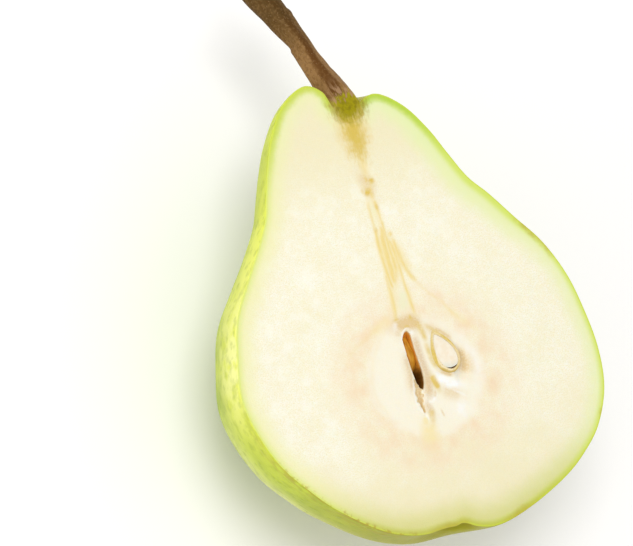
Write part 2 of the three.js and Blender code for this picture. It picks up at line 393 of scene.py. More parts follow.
# What the knife laid open, in millimetres from the top of the core, y towards the stem.
SLIT = [  # the narrow mouth of the left seed chamber
    (-0.45, 0), (0.15, -0.45), (0.2, -2.6), (0.3, -5), (0.48, -7.8), (0.3, -9.4),
    (-0.28, -10.8), (-0.95, -9.75), (-1.4, -8.2), (-1.6, -3.2), (-1.5, -1.1),
]
SLIT_DEPTH = 5.8
SLIT_TOP = (-0.3, -2.6)  # the slit deepens from the first height down to the second
SLIT_TOP_DEPTH = 0.2  # share of the depth that it has at its top
SLIT_WALL = 0.32  # width of the wall as seen from above
SLIT_BELLY = 0.45  # how much wider the chamber is below its mouth
SLIT_MIDDLE = ([-10.6, -7.3, -3.3, 0.1], [-0.1, -0.4, -0.7, -0.5])  # heights, and places across
CREASE = [  # the torn fold of lining below the slit
    (-0.2, -10.0), (-0.6, -11.8), (-0.85, -13.2), (-0.95, -15.1), (-1.6, -14.5),
    (-2.2, -11.9), (-1.9, -10.0), (-1.35, -8.4), (-0.8, -9.4),
]
CREASE_DEPTH = 0.7
CREASE_WALL = 0.8
CHAMBER = [  # the open seed chamber on the right
    (4.2, -0.8), (6.9, -2.1), (9.4, -4.7), (10.5, -7.4), (10.0, -10.2),
    (8.2, -12.0), (5.4, -12.0), (3.2, -10.4), (2.8, -8.0), (2.9, -3.8),
]
CHAMBER_DEPTH = 1.1
CHAMBER_WALL = 2.6
TORN_HEIGHT = 0.12
TORN_GRAIN = (1.9, 1.3)  # how fine the torn flesh is, across and along the core
SNAP = 0.05  # a vertex this near the slit's edge is moved onto it
STRAND_RISE = 0.02
STEM_ROOT = (0.6, 41.5)  # the cut edge stays sharp round this place


def outline_of(points, steps=8):
    return np.array([tuple(p) for p in curve_through(points, steps, closed=True)])


def seed_profile(seed, steps=48, less=0):
    """A seed's side, [radius, height], smaller by so much: round below, pointed above, fullest low down."""
    shares = np.linspace(0, 1, steps + 1)
    full = np.abs(np.sin(pi * shares**0.72)) ** 0.72
    full[[0, -1]] = 0
    return np.column_stack([(seed["width"] - less) / 2 * full, (shares - 0.5) * (seed["length"] - less)])


SLICED_SEED = {"length": 8.4, "width": 5.3, "thickness": 3, "at": (5.75, -5.0, -0.25), "turn": radians(14)}
SEED_HOLD = 0.38  # how far the flesh reaches over the seed's edge
SEED_ROOM = 0.2  # the bed's depth below the seed


def seed_frame(points, seed):
    """How far points lie across and along a seed from its middle."""
    c, s = cos(seed["turn"]), sin(seed["turn"])
    x, y = (points - np.array(seed["at"][:2])).T
    return c * x + s * y, c * y - s * x


def seed_distance(points, seed):
    """Distance of each point outside the outline of a lying seed."""
    side = seed_profile(seed, 24)
    outline = np.vstack([side, side[-2:0:-1] * (-1, 1)])
    return -nearest_on(np.column_stack(seed_frame(points, seed)), outline)[1]


def seed_bed(points, seed):
    """Depth of the hollow that a lying seed leaves in the flesh, 0 outside it."""
    across, along = seed_frame(points, seed)
    side = seed_profile(seed, 40, less=2 * SEED_HOLD)
    half = np.interp(along, side[:, 1], side[:, 0], left=0, right=0)
    bulge = np.sqrt(np.clip(half**2 - across**2, 0, None)) * seed["thickness"] / seed["width"]
    return np.where(bulge > 0, bulge - seed["at"][2] + SEED_ROOM, 0)


def edges_in(geometry):
    return [g for g in geometry if isinstance(g, bmesh.types.BMEdge)]


def edges_at(verts):
    return list({e for v in verts for e in v.link_edges})


def cut_above(bm, height):
    """Cuts off what lies above a height, and returns the edges round the opening."""
    plane = {"plane_co": (0, 0, height), "plane_no": (0, 0, 1), "dist": 1e-7}
    made = bmesh.ops.bisect_plane(bm, geom=[*bm.verts, *bm.edges, *bm.faces], clear_outer=True, **plane)
    return edges_in(made["geom_cut"])


def next_ring(bm, edges):
    """Extrudes a ring of edges in place, and returns the new ring's vertices and edges."""
    grown = bmesh.ops.extrude_edge_only(bm, edges=edges)["geom"]
    ring = [g for g in grown if isinstance(g, bmesh.types.BMVert)]
    inner = set(ring)
    return ring, [e for e in edges_in(grown) if inner.issuperset(e.verts)]


def cut_face(bm, rim_edges):
    """Fills the knife's opening with rings of vertices, and returns them and the rim in millimetres."""
    loop = loop_in_order(rim_edges)
    top = np.argmin(np.abs(loop[:, 0]) + 1000 * (loop[:, 1] < 0))
    outline = np.vstack([spread_evenly(side, HALF_RAYS + 1)[:-1] for side in (loop[: top + 1], loop[top:])])
    climb = np.linspace(0, 1, HALF_RAYS + 1)
    spine_y = np.interp(np.concatenate([climb[:-1], climb[:0:-1]]), (0, 1), SPINE) - REST_STATION
    spine = np.column_stack([np.zeros(2 * HALF_RAYS), spine_y])

    ray = bm.verts.layers.int["ray"]
    for v in bm.verts:
        v[ray] = -1
    ring = bmesh.ops.create_circle(bm, segments=2 * HALF_RAYS, radius=CUT)["verts"]
    for k, v in enumerate(ring):
        v[ray] = k
    edges = outer = edges_at(ring)
    for share in RING_SHARES:
        if share != RING_SHARES[0]:
            ring, edges = next_ring(bm, edges)
        at = outline * (1 - share) + spine * share
        for v in ring:
            v.co = (*(at[v[ray]] * MM), CUT)
    bmesh.ops.remove_doubles(bm, verts=ring, dist=1e-7)
    bmesh.ops.bridge_loops(bm, edges=[*rim_edges, *outer])
    return [v for v in bm.verts if v[ray] >= 0], outline


# Marks in the flesh, in millimetres from the top of the core: half-width, strength and the points, [x, y].
MARKS = {}
MARKS["sheath"] = [  # the soft yellowish sheath of the strands
    (1, 0.5, (0.9, 34), (0.6, 31), (0.4, 28)),
    (0.9, 0.6, (0.4, 28), (0.2, 24), (0.2, 19)),
    (1, 1, (0, 19.5), (-0.3, 15.5), (-0.3, 12), (-0.1, 8.5)),
    (0.9, 1, (1.1, 18), (1.3, 15), (1.4, 12), (1.3, 9)),
    (0.8, 0.7, (-0.9, 8.5), (-1.2, 5.4), (-1.7, 3.2)),
    (0.6, 0.6, (2, 8.4), (2.1, 5.4), (2.2, 3.2)),
    (0.8, 0.7, (2.2, 16.5), (3.2, 12.8), (4.2, 9.6)),
    (0.8, 0.6, (-1.9, 3.1), (-3.4, 2.6), (-5.3, 1.8), (-7.6, 0.6)),
    (0.7, 0.5, (8.4, 2.7), (10.4, 0.6), (12.6, -1.4)),
    (1.4, 1, (-1.2, -16.2), (-1.5, -18.4), (-1.7, -21)),
    (0.5, 1.2, (-1.5, -15.6), (-1.8, -17.2)),
]
MARKS["pith"] = [  # the pale green strip that runs down between the strands to the top of the core
    (1, 1, (0.9, 7.6), (0.7, 5.2), (0.2, 3.3)),
    (0.5, 0.4, (0.1, 24.5), (0, 22), (0, 20.5)),
]
MARKS["strand"] = [  # woody strands that run from the stem down to the core and on round it
    (0.6, 0.4, (0.9, 33), (0.6, 30.5), (0.7, 28.3)),
    (0.3, 0.5, (0.9, 27.4), (0.6, 25.6), (0.8, 24)),
    (0.28, 0.55, (-0.6, 24.4), (-0.8, 21.4), (-0.6, 18.4)),
    (0.32, 0.85, (-0.6, 19.4), (-0.9, 16.3), (-0.9, 13.1), (-0.8, 10), (-0.5, 7.6)),
    (0.3, 0.6, (0.7, 24.6), (0.85, 22.9), (0.9, 21), (0.7, 19.2)),
    (0.45, 1, (0.8, 20), (0.6, 18.4), (0.2, 15.8), (0.2, 12.5), (0.1, 8.2)),
    (0.32, 0.75, (0.9, 21), (1, 18), (1, 15.5), (1.1, 13), (1, 11), (0.8, 9)),
    (0.5, 0.9, (1.6, 18), (2.2, 17.2)),
    (0.4, 0.8, (2.1, 17.2), (2.35, 15.2), (2.7, 12.4), (3.3, 10.2), (4.6, 7.9)),
    (0.25, 0.3, (3.6, 9.6), (6.2, 5.7), (8, 4), (9.3, 1.9), (10.8, 0.1)),
    (0.3, 0.75, (1.3, 17), (1.75, 14.5), (1.95, 12), (1.9, 9.8), (1.95, 8.4), (2.05, 5.6), (2.25, 2.4)),
    (0.34, 0.7, (-1.2, 11), (-1.25, 7.2), (-1.35, 5.4), (-1.7, 2.2)),
    (0.3, 0.15, (11, -0.2), (12.4, -1.6), (14.1, -2.9)),
    (0.35, 0.18, (-5.1, 2), (-8.8, 0.1), (-12.5, -2), (-14, -4.5)),
    (0.35, 0.12, (-3.2, 2), (-6.4, -1.2), (-9.2, -5.6), (-9.8, -10), (-8.2, -14.5)),
]
MARKS["wall"] = [  # the tough yellow wall of the core where it was cut across
    (0.3, 0.6, (0.2, 28.8), (0.5, 27.6)),
    (0.5, 1.1, (1.2, 28.3), (1.5, 27.1)),
    (0.6, 1.1, (-0.7, 26.1), (0, 25.8), (0.4, 25.5)),
    (0.4, 0.5, (-1.4, 26.1), (-0.7, 26.1)),
    (0.35, 0.6, (0.8, 23.6), (0.9, 22.3)),
    (0.35, 0.5, (-0.65, 19.4), (-0.6, 18.3)),
    (0.5, 0.7, (1.6, 1.2), (2.3, 0.6), (2.6, -0.6), (2.8, -1.7), (2.9, -3)),
    (0.5, 0.7, (2.75, -2.4), (2.85, -4.2), (3, -5.6), (3.3, -6.8), (3.9, -8.2)),
    (0.4, 0.8, (2.7, -1.3), (2.85, -2.1)),
    (0.5, 1.4, (2.1, -8.4), (2.35, -9.8), (2.7, -11.6)),
    (0.5, 0.55, (0.3, -14.4), (-0.1, -15.9), (-0.4, -17.3)),
    (0.4, 0.45, (3.2, 0.6), (4.6, -0.6), (6.2, -1.9)),
    (0.4, 0.8, (-1.85, 2.6), (-1.75, 2.1)),
    (0.5, 0.8, (0.9, 2.1), (1.5, 2.2)),
    (0.16, 0.6, (-0.6, 0.75), (0, 0.85), (0.6, 0.6)),
]
MARKS["tan"] = [  # tan, slightly corky tissue round the core
    (1.1, 1.4, (-2.7, 0.7), (-2, 1.1), (-0.5, 1.3), (1.4, 1.2), (2.9, 0)),
    (0.8, 0.6, (-1.8, 0.6), (-2.3, -0.8)),
    (0.9, 0.6, (2.9, 0.1), (4.6, -0.7), (6.6, -2.3), (8.2, -4)),
    # These two are painted shade on the open chamber's right wall, warm like the tan tissue.
    (0.85, 1.2, (8.7, -4.6), (9.1, -6.4), (9.3, -8.2), (8.9, -10.2)),
    (1, 0.6, (9.6, -5.8), (10.2, -7.8), (9.8, -10.6)),
    (0.35, 1.3, (3.7, -8.2), (4.6, -8.9), (5.5, -9.3), (6.5, -9.35)),
    (0.45, 0.9, (4.4, -0.5), (5.9, -1.2), (7.2, -2.4), (8.2, -3.7)),
    (1.1, 0.6, (3, -11.6), (4.8, -12.4), (7, -13.4)),
    (0.8, 0.4, (-2.2, -3.5), (-2.3, -7.5), (-2.9, -11.5)),
    (0.8, 0.5, (1, -8), (0.7, -10.6), (0.2, -12.6)),
    (0.2, 0.9, (2, -11.4), (1.5, -12.5), (0.8, -12.8)),
    (0.16, 0.7, (2, -15), (2.3, -16.5)),
    (1.1, 0.6, (-0.8, 30), (0.2, 27), (0.9, 24.5)),
]
MARKS["grit"] = [  # flesh torn rough by the knife beside the slit
    (0.7, 1, (0.9, -0.6), (0.9, -5), (1.2, -8.6), (0.9, -11), (0.2, -13)),
    (0.6, 0.8, (-0.4, -12.6), (-0.2, -14.6), (0.4, -16)),
    (0.4, 0.7, (-2, -4), (-2, -8), (-2.5, -11)),
]
# Mostly painted highlights: the shine of the wet lining, as the crescent below the sliced seed and the rim
# round the slit's top.
MARKS["lining"] = [  # smooth pale lining that catches the light
    (0.7, 1.2, (2.7, -8.4), (3.9, -9.8), (5.1, -10.6), (6.3, -11.2), (7.8, -11.8)),
    (0.6, 1, (4, -10.4), (6, -11.6)),
    (0.13, 0.8, (-1.75, -1.8), (-1.5, -0.7), (-0.9, 0.1), (-0.3, 0.4), (0.4, 0.1)),
    (0.3, 0.7, (0.5, -0.1), (0.8, -0.9)),
    (0.14, 0.6, (-1.75, -9), (-2.15, -10.5), (-2.4, -12.3), (-2.15, -14), (-1.3, -15.2), (-0.8, -16.5)),
    (0.3, 0.8, (-0.2, -13.3), (0.9, -13.2), (1.7, -12.3)),
    (0.9, 0.4, (9.8, -3.8), (11.3, -6.2), (11.6, -9.4), (10.6, -12.4)),
    (0.2, 0.5, (5.2, -11.9), (7.8, -13.8)),
    (1.2, 0.6, (4.8, -15.4), (7.2, -16.2)),
    (0.4, 0.5, (-1.9, 1.9), (-2.7, 0.6)),
]


def marked(flat, lines):
    """How strongly a set of marks shows at each place, 0 to 1."""
    shown = np.zeros(len(flat))
    for half_width, strength, *points in lines:
        line = np.array([tuple(p) for p in curve_through(points, 6)])
        there = np.all(flat > line.min(axis=0) - 2, axis=1) & np.all(flat < line.max(axis=0) + 2, axis=1)
        foot, inside = nearest_on(flat[there], np.vstack([line, line[-2:0:-1]]))
        to_end = np.minimum(*(np.linalg.norm(foot - end, axis=1) for end in (line[0], line[-1])))
        length = np.linalg.norm(np.diff(line, axis=0), axis=1).sum()
        taper = 0.25 + 0.75 * step(to_end / length, 0, min(0.3, 3 * half_width / length))
        spread = 1 - step(np.abs(inside), 0, 2 * half_width)
        shown[there] = np.maximum(shown[there], strength * taper * spread)
    return shown


def carve(bm, face, outline):
    """Presses the slit, crease, open chamber and seed's bed into the cut face, and rounds its edge."""
    core = np.array([0, CORE_TOP - REST_STATION])
    flat = np.array([v.co.xy for v in face]) / MM - core
    slit = outline_of(SLIT)
    foot, inside = nearest_on(flat, slit)
    close = np.abs(inside) < SNAP
    flat[close] = foot[close]
    in_slit = nearest_on(flat, slit)[1]
    in_crease = nearest_on(flat, outline_of(CREASE))[1]
    in_chamber = nearest_on(flat, outline_of(CHAMBER))[1]
    from_rim = nearest_on(flat + core, outline)[1]

    deepening = step(-flat[:, 1], -SLIT_TOP[0], -SLIT_TOP[1])
    deepening = SLIT_TOP_DEPTH + (1 - SLIT_TOP_DEPTH) * deepening
    slit_sunk = SLIT_DEPTH * deepening * step(in_slit, 0, SLIT_WALL)
    rough = np.array([noise.noise(Vector((*grain, 0))) for grain in flat * TORN_GRAIN])
    rough *= np.abs(flat[:, 0]) < 3
    crease_sunk = CREASE_DEPTH * step(in_crease + 0.5 * rough, -0.1, CREASE_WALL)
    from_seed = seed_distance(flat, SLICED_SEED)
    across, along = seed_frame(flat, SLICED_SEED)
    # The chamber is deep only on the seed's right, and close to it.
    chamber_sunk = CHAMBER_DEPTH * step(in_chamber, -0.3, CHAMBER_WALL)
    chamber_sunk *= 1 - 0.8 * step(from_seed, 0.2, 3.2)
    chamber_sunk *= step(across - 0.3 * along, 0.8, 3.0)
    seed_sunk = seed_bed(flat, SLICED_SEED)
    sunk = np.maximum.reduce([slit_sunk, crease_sunk, chamber_sunk, seed_sunk])
    marks = {name: marked(flat, lines) for name, lines in MARKS.items()}
    beside_stem = step(np.hypot(*(flat - STEM_ROOT).T), 3, 4.2)
    fall = np.clip(1 - from_rim / LIP, 0, 1) * beside_stem
    lip_sunk = LIP * (1 - np.sqrt(1 - fall**2))
    torn = TORN_HEIGHT * rough * step(in_crease, -1.6, -0.2)
    height = torn - sunk - lip_sunk + STRAND_RISE * (marks["strand"] + marks["wall"]) * (sunk < 0.05)

    # Below its mouth the slit's chamber widens round the seed.
    side = np.sign(flat[:, 0] - np.interp(flat[:, 1], *SLIT_MIDDLE))
    flat[:, 0] += side * SLIT_BELLY * step(slit_sunk, 0.3, 3) * step(in_slit, 0, 0.4)

    marks |= {"from_rim": from_rim, "sunk": slit_sunk, "crease": crease_sunk / CREASE_DEPTH}
    for name, values in marks.items():
        layer = bm.verts.layers.float[name]
        for v, value in zip(face, values):
            v[layer] = value
    for k, v in enumerate(face):
        v.co = (*((flat[k] + core) * MM), CUT + height[k] * MM)


bm = bmesh.new()
for name in ("station", "ray"):
    bm.verts.layers.int.new(name)
for name in ("from_rim", "sunk", "crease", *MARKS):
    bm.verts.layers.float.new(name)
spun_fruit(bm)
opening = cut_above(bm, CUT - LIP * MM)
for v in bm.verts:
    v.co.z = max(v.co.z, 0)  # the flat rest spot
face, outline = cut_face(bm, opening)
carve(bm, face, outline)
rays = bm.verts.layers.int["ray"]
for f in bm.faces:
    f.material_index = int(all(v[rays] >= 0 for v in f.verts))
half = object_from(bm, "half_pear_flesh")


def away(x, y, at_x, at_y, wide=1, high=1):
    """Distance from a place, counted in the half-axes of an ellipse."""
    return (((x - at_x) / wide) ** 2 + ((y - at_y) / high) ** 2) ** 0.5


SKIN_GREEN = color(188, 210, 8)
SKIN_DEEP = color(158, 182, 8)
SKIN_BRIGHT = color(248, 252, 104)
SKIN_PALE = color(255, 255, 172)
SKIN_DOT = color(140, 162, 14)
SKIN_RUST = color(178, 148, 52)
SKIN_OLIVE = color(178, 174, 26)
RUSSET = color(168, 140, 40)

shader, place = material(
    half, "green_skin", Roughness=0.45, Specular_IOR_Level=0.18,
    Subsurface_Weight=0.12, Subsurface_Radius=(1.0, 1.0, 0.3), Subsurface_Scale=0.6 * MM,
)
mm = place.moved((0, 0, CUT))
x, y, z = mm.axes()
below = z * -1
cloud = mm.noise(0.09, 3)
pale_and_lit_near_cut = (below + cloud * 8 - 4).smooth(15, 0) * (y + cloud * 20).smooth(-32, 4)
pale_and_sheen_blotch = mm.noise(0.28, 3, 0.6).smooth(0.3, 0.55)
fade = (y + cloud * 24 - 12).smooth(6, -18)
warped = mm.node("VectorMath", {"operation": "ADD"}, mm, mm.node("TexNoise", {}, mm, Scale=1.2, out=1))
spots = warped.node("TexVoronoi", {}, warped, Scale=0.5, Randomness=0.9)
dots = spots.smooth(0.42, 0.1) * mm.noise(0.3).smooth(0.25, 0.5)
patchy = mm.noise(0.5, 4)
streak = mm.stretched(0.25, 0.25, 1.6).noise(1.1, 3)
at_blossom = y.smooth(-20, -26)
from_calyx = away(x, below, 0, 3.9) + (patchy - 0.5) * 6
from_stem = away(x, y, 0.5, 50) + (mm.noise(0.6, 4) - 0.5) * 4
skin = layered(
    cloud.smooth(0.35, 0.65).tint(SKIN_GREEN, SKIN_DEEP),
    # Brighter near the cut: a paler skin under a painted highlight, blotchy like sheen on wax. Paler towards
    # the blossom end.
    (pale_and_lit_near_cut * (y.smooth(46, 22) * y.smooth(-12, 8) * 0.5 + 0.42), SKIN_BRIGHT),
    (pale_and_lit_near_cut * pale_and_sheen_blotch * y.smooth(30, 4) * y.smooth(-8, 10) * 0.85, SKIN_PALE),
    (below.smooth(5, 15) * below.smooth(34, 18) * fade * 0.7, SKIN_PALE),
    # Olive towards the blossom end: the skin's own olive, deepened as painted shade on the underside.
    (y.smooth(-14, -30) * 0.8, SKIN_OLIVE),
    # Lenticels, in rows that wander a little.
    (dots * 0.3, SKIN_DOT),
    (patchy.smooth(0.46, 0.7) * 0.28, SKIN_DOT),
    # Rusty streaks along the cut edge, and russet round the calyx and the stem.
    (streak.smooth(0.42, 0.6) * below.smooth(4, 0.4) * y.smooth(2, -18) * 0.6, SKIN_RUST),
    (from_calyx.smooth(14, 4) * at_blossom * 0.8, SKIN_OLIVE),
    (from_calyx.smooth(4.5, 1.5) * at_blossom * 0.7, RUSSET),
    (from_stem.smooth(6.5, 2.5) * 0.75, RUSSET),
)
skin.into(shader, "Base Color")
(mm.noise(1.6, 4) * 0.6 + dots * 0.4).bump(shader, 0.12 * MM)

FLESH = color(250, 243, 212)
FLESH_WHITE = color(255, 253, 238)
FLESH_SHADE = color(244, 235, 194)
FLESH_GREEN = color(236, 244, 184)
FLESH_YELLOW = color(244, 242, 182)
FLESH_LIME = color(216, 232, 96)
LEFT_LIME = color(206, 220, 70)
SHOULDER_LIME = color(176, 212, 56)
FLESH_OLIVE = color(214, 210, 128)
SKIN_LINE = color(206, 220, 66)
BRUISE = color(192, 176, 60)
BRUISES = ((28, 13.5, 4), (31, 9.6, 3.4), (33.5, -22.8, 1.6), (12, -36.5, 5), (-3, -36, 5))  # x, y, radius
CORE_RING = color(248, 222, 184)
CORE_PALE = color(252, 246, 226)
OCHRE = color(228, 196, 84)
SHEATH = color(249, 233, 178)
PITH = color(244, 242, 205)
STRAND = color(243, 218, 134)
TAN = color(232, 204, 150)
# Also the colour of the painted highlights on the wet lining.
LINING = color(255, 255, 252)
STAIN = color(222, 194, 84)
STAIN_EDGE = color(240, 220, 160)
OLIVE = color(160, 148, 0)
OLIVE_DARK = color(116, 104, 0)
GRIT = color(228, 204, 166)
LOCULE = color(232, 204, 150)
CREASE_BROWN = color(208, 170, 104)
LOCULE_BROWN = color(250, 176, 64)
SLIT_HOLLOW_SHADE = color(140, 88, 22)


def from_core_top(place):
    """The place in millimetres from the top of the core, with the knife's plane at z = 0."""
    return place.moved((0, (CORE_TOP - REST_STATION) * MM, CUT))


def rooted(base, mm):
    """Golden and olive stain round the stem's root, over a base colour, for the flesh and the stem."""
    x, y, _ = mm.axes()
    wander = mm.noise(0.35, 3) - 0.5
    fleck = mm.noise(0.9, 5, 0.6)
    grain = mm.stretched(1.6, 0.4, 1).noise(1.6, 4, 0.6)
    rough = wander * 0.7 + (fleck - 0.5) * 0.9 + (grain - 0.5) * 1.1
    halo = away(x, y, 0.5, 38.5, 3.6, 6.8) + rough * 0.7
    gold = away(x, y, 0.6, 37.2, 2.4, 5.8) + rough * 0.8
    olive = away(x, y, 1.0, 42.4, 3.9, 3.7) + rough * 0.7
    return layered(
        base,
        (halo.smooth(1.3, 0.6) * 0.7, STAIN_EDGE),
        (gold.smooth(1.3, 0.2) * 0.95, STAIN),
        (olive.smooth(1.3, 0.4), OLIVE),
        (fleck.smooth(0.45, 0.6) * olive.smooth(0.95, 0.5) * 0.5, OLIVE_DARK),
    )


shader, place = material(
    half, "cream_flesh", Roughness=0.5, Specular_IOR_Level=0.3,
    Subsurface_Weight=0.3, Subsurface_Radius=(1.0, 0.8, 0.5), Subsurface_Scale=1.0 * MM,
)
mm = from_core_top(place)
x, y, _ = mm.axes()
from_rim, sunk, crease = (mm.attribute(name) for name in ("from_rim", "sunk", "crease"))
cloud = mm.noise(0.14, 4)
fleck = mm.noise(0.9, 5, 0.6)
cells = mm.noise(4.5, 2)
grit = mm.noise(3.5, 2)
fine = mm.stretched(1.6, 0.25, 1).noise(1.5, 3)
wander = mm.noise(0.35, 3) - 0.5
depth = from_rim + wander * 1.6
from_core = away(x, y, 0.8, -8.7, 12, 11.4) + wander * 0.25
ring = from_core.smooth(0.8, 1.1) * from_core.smooth(1.8, 1.1) * mm.noise(0.28, 4).smooth(0.18, 0.86)
milky = mm.noise(0.26, 5, 0.6).smooth(0.46, 0.66) * from_core.smooth(1.2, 2)
rightwards_share = x.smooth(-6, 14)
upper_right = x.smooth(2, 12) * y.smooth(4, 20)
shoulder = y.smooth(26, 42)
greener = (rightwards_share * 0.8 + shoulder * 0.5).tint(FLESH_YELLOW, FLESH_GREEN)
lime = (x.smooth(-2, 5) * 0.8 + 0.1).tint(LEFT_LIME, SHOULDER_LIME)
lime_share = (from_rim - upper_right * 0.5).smooth(1.7, 0.1) * (rightwards_share * 0.4 + 0.5)
bruises = [(away(x, y, *at) + wander * 3).smooth(wide, wide * 0.2) for *at, wide in BRUISES]
rusty = fleck.smooth(0.5, 0.62) * from_rim.smooth(0.9, 0.1) * x.smooth(-4, -14) * y.smooth(-12, -26)
# Painted shade: the slit darkens towards its lower end, where it is hollow below the seed.
inside = (y + x * 0.9).smooth(-6.0, -7.6).tint(LOCULE_BROWN, SLIT_HOLLOW_SHADE)
drawn = []
for name, tone, share, broken_by in (
    ("grit", GRIT, 0.9, grit),
    ("sheath", SHEATH, 0.9, fleck),
    ("pith", PITH, 0.85, fleck),
    ("tan", TAN, 0.95, grit),
    ("strand", STRAND, 0.8, fine),
    ("wall", OCHRE, 0.9, fleck),
    ("lining", LINING, 0.95, fleck),
):
    shown = mm.attribute(name) * (broken_by.smooth(0.3, 0.6) * 0.4 + 0.6)
    drawn.append((shown.at_most(share), tone))
flesh = layered(
    (cloud * 0.3 + fleck * 0.35 + mm.noise(2.6, 3) * 0.35).smooth(0.34, 0.66).tint(FLESH, FLESH_WHITE),
    # Grit cells, a shade darker at the stem and the blossom end.
    (cells.smooth(0.46, 0.66) * 0.75, FLESH_SHADE),
    ((y + cloud * 12).smooth(-6, -32), FLESH_SHADE),
    ((y + cloud * 8).smooth(22, 42) * 0.8, FLESH_SHADE),
    # The pale core, the peach-coloured ring round it, and milky clouds outside the ring.
    (from_core.smooth(1.02, 0.9) * 0.8, CORE_PALE),
    (ring, CORE_RING),
    (milky * y.smooth(34, 22) * y.smooth(-26, -12) * x.smooth(28, 6) * 0.6, FLESH_WHITE),
    # Greener towards the skin, most on the right and at the shoulders, and bruised at a few places of the rim.
    ((depth - upper_right * 1.2).smooth(5.5, 0.8) * (upper_right * 0.15 + 0.85), greener),
    (depth.smooth(6.5, 0.5) * y.smooth(-20, -36) * 0.8, FLESH_OLIVE),
    (lime_share, FLESH_LIME),
    ((from_rim + fleck).smooth(2.6, 0.7) * shoulder * 0.9, lime),
    (from_rim.smooth(1.5, 0.2) * y.smooth(-26, -36) * 0.55, SKIN_OLIVE),
    (from_rim.smooth(0.5, 0.1) * (rightwards_share * 0.35 + 0.5), SKIN_LINE),
    *((near * (depth + fleck * 1.5).smooth(2.2, 0.4) * 0.75, BRUISE) for near in bruises),
    (rusty * 0.7, SKIN_RUST),
    *drawn,
)
flesh = layered(
    rooted(flesh, mm),
    # The brown insides of the crease and of the slit, its lower end darkened as painted shade in the hollow
    # below the seed.
    (crease.smooth(0, 0.3) * (cells.smooth(0.4, 0.6) * 0.3 + 0.7), LOCULE),
    (crease.smooth(0.4, 1) * y.smooth(-11, -14) * 0.6, CREASE_BROWN),
    (sunk.smooth(0.02, 0.12) * 0.9, LOCULE),
    (sunk.smooth(0.12, 0.5), inside),
)
flesh.into(shader, "Base Color")
(fleck * 0.6 + mm.noise(5, 3) * 0.4).bump(shader, 0.10 * MM)
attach(half, "root")
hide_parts("half_pear")

# ---------------------------------------------------------------- stem
# A woody stem under brown bark, with shallow twisted ridges and a swollen scar at its free end, where it
# broke off the twig. Its root frays into the flesh, where the knife shaved it.

# Its middle line, [x, y, z, radius], with y above the blossom end and z from the knife's plane.
STEM_LINE = [
    (1.1, 73.8, -1.2, 2.9),
    (0.9, 76.2, -1.4, 3.1),
    (0.7, 78.4, -2, 3.0),
    (-0.55, 83.8, -3.5, 2.4),
    (-1.35, 87.3, -4.5, 2.05),
    (-2.5, 92, -5.7, 2.05),
    (-4.6, 98.2, -7.2, 2.4),
    (-6.6, 103.1, -8.2, 2.75),
    (-7.5, 105.3, -8.7, 2.7),
]
STEM_SIDES = 72
STEM_STEPS = 30  # rings from one point of the line to the next
STEM_RIDGES = 4
STEM_RIDGE_HEIGHT = 0.12
STEM_TWIST = 1.6  # radians that the ridges turn along the stem
STEM_ROUNDING = 1.2  # length over which each end closes
GRAIN_RADIUS = 1.6  # radius of the stem in the coordinates of its grain


def bark_relief(turn, far):
    """How far the bark stands out at a turn round the stem and a way along it from the root."""
    grain_at = Vector((GRAIN_RADIUS * cos(turn), GRAIN_RADIUS * sin(turn), far * 0.35))
    knobbly = 0.12 * noise.noise(grain_at * 0.9) + 0.06 * noise.noise(grain_at * 2.4)
    low_step_on_left = -0.3 * step(far, 17.4, 18.2) * step(far, 22, 18.6) * max(0, cos(turn)) ** 2
    knot_on_right = 0.25 * sin(min(1, max(0, (far - 23) / 1.8)) * pi) * max(0, -cos(turn)) ** 3
    frayed = 0.16 * step(far, 7, 2.5) * noise.noise(Vector((7 * cos(turn), 7 * sin(turn), far * 0.5)))
    return knobbly + low_step_on_left + knot_on_right + frayed


bm = bmesh.new()
bark = bm.verts.layers.float_vector.new("bark")
side_of = bm.verts.layers.int.new("side")
line = curve_through([p[:3] for p in STEM_LINE], STEM_STEPS)
radii = [v.y for v in curve_through([(k, p[3]) for k, p in enumerate(STEM_LINE)], STEM_STEPS)]
length_to = [0.0]
for a, b in zip(line, line[1:]):
    length_to.append(length_to[-1] + (b - a).length)
stem_length = length_to[-1]
ring = bmesh.ops.create_circle(bm, segments=STEM_SIDES, radius=1)["verts"]
for k, v in enumerate(ring):
    v[side_of] = k
edges = edges_at(ring)
for k, (at, far, radius) in enumerate(zip(line, length_to, radii)):
    if k:
        ring, edges = next_ring(bm, edges)
    ahead = line[min(k + 1, len(line) - 1)] - line[max(k - 1, 0)]
    ahead.normalize()
    side = Vector((0, 0, 1)).cross(ahead).normalized()
    up = ahead.cross(side)
    along = far / stem_length
    to_end = min(far, stem_length - far)
    closing = sqrt(1 - (1 - min(1, (to_end + 0.02) / STEM_ROUNDING)) ** 2)
    for v in ring:
        turn = 2 * pi * v[side_of] / STEM_SIDES
        outward = side * cos(turn) + up * sin(turn)
        ridges = STEM_RIDGE_HEIGHT * cos(STEM_RIDGES * turn + STEM_TWIST * along)
        v.co = at + outward * ((radius + ridges + bark_relief(turn, far)) * closing)
        v[bark] = (GRAIN_RADIUS * cos(turn), GRAIN_RADIUS * sin(turn), far)
bmesh.ops.holes_fill(bm, edges=[e for e in bm.edges if e.is_boundary], sides=0)
in_row = Matrix.Scale(MM, 4) @ Matrix.Translation((0, -REST_STATION, CUT / MM))
bmesh.ops.transform(bm, matrix=in_row, verts=bm.verts)
bmesh.ops.holes_fill(bm, edges=cut_above(bm, CUT + 0.01 * MM), sides=0)
stem = object_from(bm, "stem_bark")

BARK = color(120, 86, 40)
BARK_LIGHT = color(154, 116, 70)
BARK_DARK = color(94, 55, 4)
BARK_SHADE = color(80, 58, 18)
BARK_FRAYED = color(190, 152, 112)
BARK_SCAR = color(84, 62, 40)

